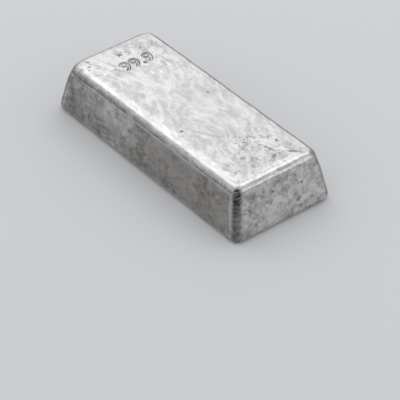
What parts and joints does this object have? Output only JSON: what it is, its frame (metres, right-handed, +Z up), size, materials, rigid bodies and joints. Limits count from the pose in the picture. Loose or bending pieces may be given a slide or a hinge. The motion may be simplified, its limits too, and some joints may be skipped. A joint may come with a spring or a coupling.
{
  "type": "nickel ingot",
  "caption": "Solid cast ingot with a wide flat base, four walls leaning in to a narrower flat top, and rounded corners and edges, to remelt or store as raw stock.",
  "frame": {"origin": "centre of the wide flat base, on the floor it lies on", "axes": "+X along the length, +Y across the width, +Z up from the wide base to the narrow top"},
  "size_m": [0.198, 0.082, 0.0388],
  "materials": {
    "cast_nickel": "satin"
  },
  "bodies": {
    "root": {"ingot": "cast_nickel"}
  },
  "joints": []
}
